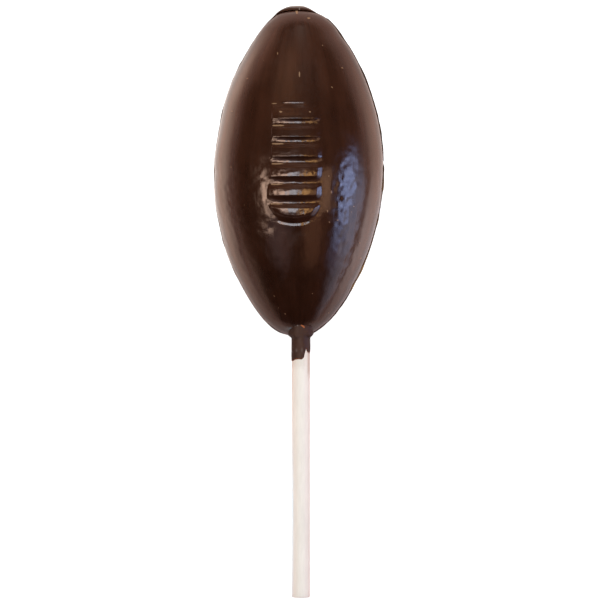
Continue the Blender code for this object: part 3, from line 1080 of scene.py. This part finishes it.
# Lighter parts of the room: azimuth and angle from straight up, how far they reach, in degrees,
# and their colour
ROOM_PATCHES = (
    (88.0, 66.0, 11.0, (0.9, 0.72, 0.62)),
    (112.0, 42.0, 20.0, (0.85, 0.36, 0.17)),
    (134.0, 90.0, 22.0, (0.9, 0.45, 0.32)),
    (56.0, 92.0, 20.0, (0.35, 0.2, 0.14)),
    (215.0, 95.0, 30.0, (0.6, 0.36, 0.26)),
    (-26.0, 88.0, 34.0, (1.6, 1.45, 1.75)),
    (-12.0, 74.0, 22.0, (0.9, 1.1, 1.7)),
    (90.0, 8.0, 22.0, (0.3, 0.17, 0.12)),
    (-132.0, 34.0, 18.0, (0.55, 0.38, 0.4)),
    (-55.0, 33.0, 16.0, (0.85, 0.36, 0.2)),
)


def add_room(stage):
    """The room round the table: dark overhead, warm near the table's edge, with lit patches."""
    world = bpy.data.worlds.new("room")
    world.use_nodes = True
    bpy.context.scene.world = world
    nodes = Nodes(world.node_tree)
    world.node_tree.nodes.clear()
    way = nodes.add("TexCoord").outputs["Generated"]
    height = nodes.add("SeparateXYZ", [way]).outputs[2]
    rise = nodes.add("ValToRGB", [height])
    elements = rise.color_ramp.elements
    while len(elements) < len(ROOM_RISE):
        elements.new(0.5)
    for element, (place, value) in zip(elements, ROOM_RISE):
        element.position = place
        element.color = plain(stage.room_colour, value * stage.room)
    lit = rise.outputs[0]
    for azimuth, zenith, reach, tint in ROOM_PATCHES:
        near = nodes.vectors("DOT_PRODUCT", way, direction(azimuth, zenith))[1]
        share_lit = nodes.ramp(near, math.cos(math.radians(reach)), 1.0)
        patch = nodes.mix(share_lit, BLACK, plain(tint))
        lit = nodes.vectors("ADD", lit, patch)[0]
    back = nodes.add("Background", [lit]).outputs[0]
    pale = nodes.add("Background", [WHITE]).outputs[0]
    both = nodes.add("MixShader", (nodes.seen(), back, pale)).outputs[0]
    nodes.add("OutputWorld", [both])


# The window's panes: azimuth, how wide, angle from straight up and how tall, in degrees, and the
# share of the window's brightness
WINDOW_PANES = (
    (7.0, 4.0, 64.0, 18.0, 0.3),
    (-2.0, 13.0, 62.5, 21.0, 0.55),
    (1.5, 3.0, 61.0, 15.0, 0.7),
    (-4.0, 3.0, 61.0, 16.0, 0.9),
    (-9.5, 3.0, 60.0, 14.0, 0.9),
    (-14.5, 11.0, 60.0, 15.0, 0.6),
    (-15.0, 3.0, 58.5, 10.0, 0.6),
    (-22.5, 4.0, 58.2, 11.5, 0.8),
    (-29.0, 5.0, 58.0, 11.0, 0.5),
    (-38.0, 9.0, 62.0, 20.0, 0.1),
)

# The panels overhead: the setting of their brightness, which their colour's setting is named
# after, their west, east, south and north edges in degrees from straight up, and the share of the
# brightness
PANELS = (
    ("lamp", -13.5, 2.5, -14.0, 0.0, 0.8),
    ("lamp", -8.5, 0.5, -12.0, -2.0, 0.9),
    ("left", -47.0, -36.5, -16.0, 2.0, 1.0),
    ("left", -28.0, -14.0, -16.0, 1.0, 1.0),
    ("left", -43.0, -31.0, -25.0, -17.5, 0.6),
    ("right", 6.0, 19.5, -16.0, 0.0, 1.0),
    ("dim", 25.0, 30.0, -18.0, 2.0, 1.0),
    ("dim", 32.0, 35.0, -18.0, 2.0, 1.6),
    ("dim", 37.0, 42.0, -18.0, 2.0, 1.0),
)

# The key light: azimuth, angle from straight up and how wide and tall, in degrees, and its colour
KEY_PLACE = (94.0, 50.0, 55.0, 55.0)
KEY_TINT = (0.92, 1.0, 1.0)

# The camera's place in millimetres
CAMERA_PLACE = (0.24, 0.29, 1002.0)


class LOLLIPOP_OT_stage(bpy.types.Operator):
    """Set the table, the lights and the camera"""

    bl_idname = "lollipop.stage"
    bl_label = "Table, Lights and Camera"

    def execute(self, context):
        stage = context.scene.lollipop.stage
        add_table(stage)
        add_room(stage)
        for name, *edges, part in PANELS:
            tint = getattr(stage, name + "_colour")
            overhead(name, edges, part * getattr(stage, name), tint)
        for azimuth, wide, zenith, tall, part in WINDOW_PANES:
            look = (part * stage.window, stage.window_colour, WINDOW_DISTANCE)
            standing("window", azimuth, zenith, wide, tall, *look).visible_diffuse = False
        key = standing("key light", *KEY_PLACE, stage.key, KEY_TINT, KEY_DISTANCE)
        key.visible_glossy = False
        camera = new_object("camera", bpy.data.cameras.new("camera"))
        camera.data.lens = stage.lens
        camera.data.sensor_width = 36.0
        camera.data.clip_start = 0.01
        camera.data.clip_end = 20.0
        camera.location = Vector(CAMERA_PLACE) * MM
        context.scene.camera = camera
        context.scene.view_settings.view_transform = "Standard"
        return {"FINISHED"}


class LollipopSettings(bpy.types.PropertyGroup):
    """All settings of the lollipop."""

    ball: PointerProperty(type=LollipopBall)
    laces: PointerProperty(type=LollipopLaces)
    coat: PointerProperty(type=LollipopCoat)
    stick: PointerProperty(type=LollipopStick)
    finish: PointerProperty(type=LollipopFinish)
    stage: PointerProperty(type=LollipopStage)


OPERATORS = (LOLLIPOP_OT_ball, LOLLIPOP_OT_coat, LOLLIPOP_OT_stick, LOLLIPOP_OT_stage)


class LOLLIPOP_PT_panel(bpy.types.Panel):
    """Lists the lollipop's operators and settings"""

    bl_idname = "LOLLIPOP_PT_panel"
    bl_label = "Chocolate Lollipop"
    bl_space_type = "VIEW_3D"
    bl_region_type = "UI"
    bl_category = "Lollipop"

    def draw(self, context):
        settings = context.scene.lollipop
        for operator in OPERATORS:
            self.layout.operator(operator.bl_idname)
        for key in settings.__annotations__:
            box = self.layout.box()
            box.label(text=key.capitalize())
            group = getattr(settings, key)
            for name in group.__annotations__:
                box.prop(group, name)


GROUPS = (LollipopBall, LollipopLaces, LollipopCoat, LollipopStick, LollipopFinish, LollipopStage)
CLASSES = (*GROUPS, LollipopSettings, *OPERATORS, LOLLIPOP_PT_panel)


def register():
    """Add the add-on's classes and its settings."""
    for cls in CLASSES:
        bpy.utils.register_class(cls)
    bpy.types.Scene.lollipop = PointerProperty(type=LollipopSettings)


def unregister():
    """Take the add-on's settings and classes away."""
    del bpy.types.Scene.lollipop
    for cls in reversed(CLASSES):
        bpy.utils.unregister_class(cls)


def main():
    """Make everything in order."""
    register()
    bpy.ops.lollipop.ball()
    bpy.ops.lollipop.coat()
    bpy.ops.lollipop.stick()
    bpy.ops.lollipop.stage()


if __name__ == "__main__":
    main()
